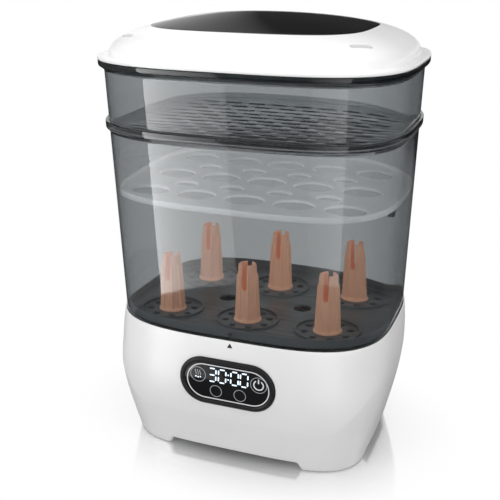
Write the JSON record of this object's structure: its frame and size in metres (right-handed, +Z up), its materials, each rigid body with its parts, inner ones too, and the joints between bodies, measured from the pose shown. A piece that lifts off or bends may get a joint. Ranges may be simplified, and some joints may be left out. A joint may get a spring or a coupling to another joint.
{
  "type": "bottle sterilizer",
  "caption": "Countertop steam sterilizer and dryer: white base with a black touch panel, smoked clear chamber with bottle posts and shelf, slotted upper tier and domed white lid.",
  "frame": {"origin": "on the surface it stands on, under the middle of the rim's plan box", "axes": "+Z up, -Y towards the control panel's front, +X to the right as seen from the front"},
  "size_m": [0.286, 0.2226, 0.4072],
  "materials": {
    "white_gloss_abs": "moulded, soft gloss",
    "pale_grey_pp": "moulded, fine matt",
    "foot_rubber": "moulded, matt",
    "screw_steel": "plated",
    "dark_grey_pp": "moulded, fine matt",
    "rack_grey_pp": "moulded, satin",
    "grey_silicone": "moulded, satin",
    "plate_steel": "pressed, polished",
    "cast_heater": "cast, satin",
    "zinc_bracket": "zinc plated",
    "black_phenolic": "moulded",
    "bezel_black": "moulded, satin",
    "panel_glass": "back printed, gloss",
    "board_green": "solder resist",
    "impeller_white": "moulded",
    "filter_paper": "pleated fleece",
    "peach_pp": "moulded, soft gloss",
    "smoked_clear": "moulded, clear gloss",
    "frosted_clear": "moulded, satin",
    "lid_white_abs": "moulded, gloss",
    "lid_black_gloss": "moulded, piano gloss"
  },
  "bodies": {
    "base": {"base_housing": "white_gloss_abs", "bottom_cover": "pale_grey_pp", "rubber_feet": "foot_rubber", "bottom_screws": "screw_steel", "top_deck": "dark_grey_pp", "deck_screws": "screw_steel", "chamber_gasket": "grey_silicone", "heating_plate": "plate_steel", "plate_gasket": "grey_silicone", "heating_element": "cast_heater", "element_bracket": "zinc_bracket", "thermostat": "black_phenolic", "control_bezel": "bezel_black", "touch_glass": "panel_glass", "display_module": "pale_grey_pp", "control_board": "board_green", "board_screws": "screw_steel", "power_board": "board_green", "fan_housing": "dark_grey_pp", "fan_cover": "dark_grey_pp", "fan_motor": "zinc_bracket", "fan_screws": "screw_steel", "air_duct": "dark_grey_pp", "air_heater": "cast_heater", "air_outlet_cap": "dark_grey_pp", "cord_gland": "pale_grey_pp", "gland_nut": "pale_grey_pp"},
    "fan": {"fan_shaft": "screw_steel", "fan_impeller": "impeller_white"},
    "filter": {"filter_cover": "white_gloss_abs", "filter_tray": "pale_grey_pp", "air_filter": "filter_paper"},
    "rack": {"bottle_rack": "rack_grey_pp", "bottle_post_1": "peach_pp", "bottle_post_2": "peach_pp", "bottle_post_3": "peach_pp", "bottle_post_4": "peach_pp", "bottle_post_5": "peach_pp", "bottle_post_6": "peach_pp"},
    "lower_chamber": {"lower_chamber": "smoked_clear"},
    "shelf": {"accessory_shelf": "frosted_clear"},
    "upper_tier": {"upper_tier": "smoked_clear"},
    "lid": {"lid_shell": "lid_white_abs", "lid_insert": "lid_black_gloss", "lid_liner": "lid_white_abs", "lid_gasket": "grey_silicone", "steam_vents": "lid_black_gloss"}
  },
  "joints": [
    {"name": "rack_lift", "type": "slide", "parent": "base", "child": "rack", "axis": [0, 0, 1], "range_m": [0, 0.02]},
    {"name": "chamber_lift", "type": "slide", "parent": "rack", "child": "lower_chamber", "axis": [0, 0, 1], "range_m": [0, 0.08]},
    {"name": "shelf_lift", "type": "slide", "parent": "lower_chamber", "child": "shelf", "axis": [0, 0, 1], "range_m": [0, 0.085]},
    {"name": "tier_lift", "type": "slide", "parent": "shelf", "child": "upper_tier", "axis": [0, 0, 1], "range_m": [0, 0.03]},
    {"name": "lid_lift", "type": "slide", "parent": "upper_tier", "child": "lid", "axis": [0, 0, 1], "range_m": [0, 0.06]},
    {"name": "filter_slide", "type": "slide", "parent": "base", "child": "filter", "axis": [0, 0.9649, -0.2627], "range_m": [0, 0.03]},
    {"name": "fan_spin", "type": "hinge", "parent": "base", "child": "fan", "pos_m": [-0.022, 0.0353, 0.058], "axis": [0, 1, 0], "continuous": true}
  ]
}
